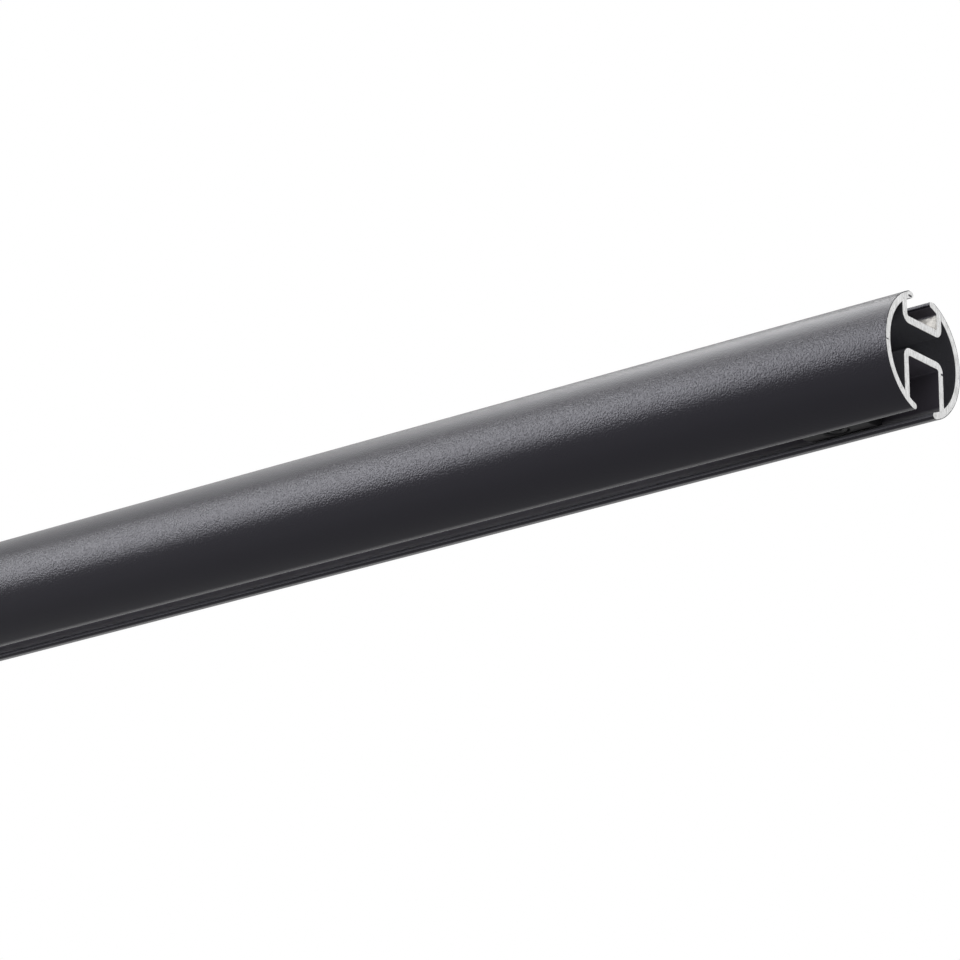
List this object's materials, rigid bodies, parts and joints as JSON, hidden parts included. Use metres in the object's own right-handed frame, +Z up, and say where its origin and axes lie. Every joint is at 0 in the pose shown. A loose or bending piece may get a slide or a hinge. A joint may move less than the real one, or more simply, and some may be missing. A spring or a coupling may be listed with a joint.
{
  "type": "curtain rod",
  "caption": "Straight round aluminium curtain rod with an inner track below for sliding curtain gliders and a bracket channel above, with end stops.",
  "frame": {"origin": "middle of the upper slot's mouth, at mid-length on top of the rod, where a bracket grips it", "axes": "+X along the rod to the pictured end, +Z up out of the bracket channel, -Z down through the glider slot"},
  "size_m": [1, 0.02, 0.0294],
  "materials": {
    "rail_coating": "matt black fine-grain coating on extruded aluminium, bare at the saw cuts",
    "glider_nylon": "moulded black nylon, slightly shiny where it slides",
    "eye_nylon": "moulded black nylon",
    "stop_block": "black-passivated die cast zinc",
    "screw_steel": "black oxide steel with a hexagon socket"
  },
  "bodies": {
    "rail": {"rail": "rail_coating"},
    "glider_01": {"glider_01": "glider_nylon"},
    "eye_01": {"swivel_eye_01": "eye_nylon"},
    "glider_02": {"glider_02": "glider_nylon"},
    "eye_02": {"swivel_eye_02": "eye_nylon"},
    "glider_03": {"glider_03": "glider_nylon"},
    "eye_03": {"swivel_eye_03": "eye_nylon"},
    "glider_04": {"glider_04": "glider_nylon"},
    "eye_04": {"swivel_eye_04": "eye_nylon"},
    "glider_05": {"glider_05": "glider_nylon"},
    "eye_05": {"swivel_eye_05": "eye_nylon"},
    "glider_06": {"glider_06": "glider_nylon"},
    "eye_06": {"swivel_eye_06": "eye_nylon"},
    "glider_07": {"glider_07": "glider_nylon"},
    "eye_07": {"swivel_eye_07": "eye_nylon"},
    "glider_08": {"glider_08": "glider_nylon"},
    "eye_08": {"swivel_eye_08": "eye_nylon"},
    "glider_09": {"glider_09": "glider_nylon"},
    "eye_09": {"swivel_eye_09": "eye_nylon"},
    "glider_10": {"glider_10": "glider_nylon"},
    "eye_10": {"swivel_eye_10": "eye_nylon"},
    "stop_left": {"end_stop_left": "stop_block"},
    "screw_left": {"stop_screw_left": "screw_steel"},
    "stop_right": {"end_stop_right": "stop_block"},
    "screw_right": {"stop_screw_right": "screw_steel"}
  },
  "joints": [
    {"name": "glider_01_slide", "type": "slide", "parent": "rail", "child": "glider_01", "axis": [1, 0, 0], "range_m": [0, 0.0765]},
    {"name": "glider_02_slide", "type": "slide", "parent": "rail", "child": "glider_02", "axis": [1, 0, 0], "range_m": [0, 0.153]},
    {"name": "glider_03_slide", "type": "slide", "parent": "rail", "child": "glider_03", "axis": [1, 0, 0], "range_m": [0, 0.2295]},
    {"name": "glider_04_slide", "type": "slide", "parent": "rail", "child": "glider_04", "axis": [1, 0, 0], "range_m": [0, 0.306]},
    {"name": "glider_05_slide", "type": "slide", "parent": "rail", "child": "glider_05", "axis": [1, 0, 0], "range_m": [0, 0.3825]},
    {"name": "glider_06_slide", "type": "slide", "parent": "rail", "child": "glider_06", "axis": [1, 0, 0], "range_m": [0, 0.459]},
    {"name": "glider_07_slide", "type": "slide", "parent": "rail", "child": "glider_07", "axis": [1, 0, 0], "range_m": [0, 0.5355]},
    {"name": "glider_08_slide", "type": "slide", "parent": "rail", "child": "glider_08", "axis": [1, 0, 0], "range_m": [0, 0.612]},
    {"name": "glider_09_slide", "type": "slide", "parent": "rail", "child": "glider_09", "axis": [1, 0, 0], "range_m": [0, 0.6885]},
    {"name": "glider_10_slide", "type": "slide", "parent": "rail", "child": "glider_10", "axis": [1, 0, 0], "range_m": [0, 0.765]},
    {"name": "eye_01_swivel", "type": "hinge", "parent": "glider_01", "child": "eye_01", "pos_m": [-0.4495, 0, -0.021], "axis": [0, 0, 1], "continuous": true},
    {"name": "eye_02_swivel", "type": "hinge", "parent": "glider_02", "child": "eye_02", "pos_m": [-0.4345, 0, -0.021], "axis": [0, 0, 1], "continuous": true},
    {"name": "eye_03_swivel", "type": "hinge", "parent": "glider_03", "child": "eye_03", "pos_m": [-0.4195, 0, -0.021], "axis": [0, 0, 1], "continuous": true},
    {"name": "eye_04_swivel", "type": "hinge", "parent": "glider_04", "child": "eye_04", "pos_m": [-0.4045, 0, -0.021], "axis": [0, 0, 1], "continuous": true},
    {"name": "eye_05_swivel", "type": "hinge", "parent": "glider_05", "child": "eye_05", "pos_m": [-0.3895, 0, -0.021], "axis": [0, 0, 1], "continuous": true},
    {"name": "eye_06_swivel", "type": "hinge", "parent": "glider_06", "child": "eye_06", "pos_m": [-0.3745, 0, -0.021], "axis": [0, 0, 1], "continuous": true},
    {"name": "eye_07_swivel", "type": "hinge", "parent": "glider_07", "child": "eye_07", "pos_m": [-0.3595, 0, -0.021], "axis": [0, 0, 1], "continuous": true},
    {"name": "eye_08_swivel", "type": "hinge", "parent": "glider_08", "child": "eye_08", "pos_m": [-0.3445, 0, -0.021], "axis": [0, 0, 1], "continuous": true},
    {"name": "eye_09_swivel", "type": "hinge", "parent": "glider_09", "child": "eye_09", "pos_m": [-0.3295, 0, -0.021], "axis": [0, 0, 1], "continuous": true},
    {"name": "eye_10_swivel", "type": "hinge", "parent": "glider_10", "child": "eye_10", "pos_m": [-0.3145, 0, -0.021], "axis": [0, 0, 1], "continuous": true},
    {"name": "stop_left_slide", "type": "slide", "parent": "rail", "child": "stop_left", "axis": [1, 0, 0], "range_m": [-0.01, 0.02]},
    {"name": "screw_left_turn", "type": "hinge", "parent": "stop_left", "child": "screw_left", "pos_m": [-0.484, 0, -0.015], "axis": [0, 0, 1], "range_deg": [-720, 0]},
    {"name": "stop_right_slide", "type": "slide", "parent": "rail", "child": "stop_right", "axis": [1, 0, 0], "range_m": [-0.02, 0.01]},
    {"name": "screw_right_turn", "type": "hinge", "parent": "stop_right", "child": "screw_right", "pos_m": [0.484, 0, -0.015], "axis": [0, 0, 1], "range_deg": [-720, 0]}
  ],
  "couplings": [
    {"joint": "glider_01_slide", "follows": "glider_10_slide", "ratio": 0.1},
    {"joint": "glider_02_slide", "follows": "glider_10_slide", "ratio": 0.2},
    {"joint": "glider_03_slide", "follows": "glider_10_slide", "ratio": 0.3},
    {"joint": "glider_04_slide", "follows": "glider_10_slide", "ratio": 0.4},
    {"joint": "glider_05_slide", "follows": "glider_10_slide", "ratio": 0.5},
    {"joint": "glider_06_slide", "follows": "glider_10_slide", "ratio": 0.6},
    {"joint": "glider_07_slide", "follows": "glider_10_slide", "ratio": 0.7},
    {"joint": "glider_08_slide", "follows": "glider_10_slide", "ratio": 0.8},
    {"joint": "glider_09_slide", "follows": "glider_10_slide", "ratio": 0.9}
  ]
}
